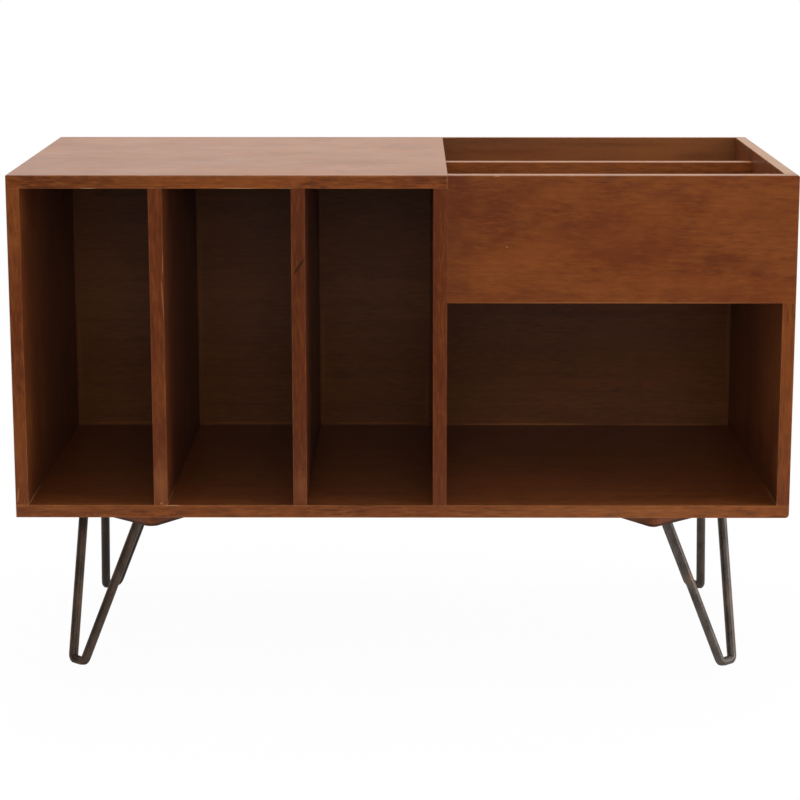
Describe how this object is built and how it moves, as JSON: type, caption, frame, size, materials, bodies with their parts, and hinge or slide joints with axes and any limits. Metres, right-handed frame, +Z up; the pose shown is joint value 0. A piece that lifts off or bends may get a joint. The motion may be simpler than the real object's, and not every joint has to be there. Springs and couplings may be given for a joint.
{
  "type": "record storage stand",
  "caption": "Free-standing wooden record stand on splayed hairpin legs, with upright record slots under a flat top and an open-topped flip-through bin over an equipment bay.",
  "frame": {"origin": "on the floor under the middle of the case, at the centre of the bounding box's bottom", "axes": "+X to the right along the case's width, the open front faces -Y, +Z up"},
  "size_m": [1.016, 0.457, 0.674],
  "materials": {
    "stained_wood": "satin lacquer over reddish-brown stain",
    "leg_steel": "satin dark bronze",
    "screw_zinc": "zinc plated",
    "dowel_wood": "raw"
  },
  "bodies": {
    "root": {"top_board": "stained_wood", "bottom_board": "stained_wood", "left_side": "stained_wood", "right_side": "stained_wood", "centre_partition": "stained_wood", "record_divider_left": "stained_wood", "record_divider_right": "stained_wood", "back_panel": "stained_wood", "bin_front": "stained_wood", "bin_floor": "stained_wood", "bin_divider": "stained_wood", "leg_block_front_left": "stained_wood", "leg_block_front_right": "stained_wood", "leg_block_rear_left": "stained_wood", "leg_block_rear_right": "stained_wood", "leg_plate_front_left": "leg_steel", "leg_plate_front_right": "leg_steel", "leg_plate_rear_left": "leg_steel", "leg_plate_rear_right": "leg_steel", "hairpin_rod_front_left": "leg_steel", "hairpin_rod_front_right": "leg_steel", "hairpin_rod_rear_left": "leg_steel", "hairpin_rod_rear_right": "leg_steel", "case_dowels": "dowel_wood", "bin_dowels": "dowel_wood", "plate_screws": "screw_zinc", "block_screws": "screw_zinc", "back_screws": "screw_zinc"}
  },
  "joints": []
}
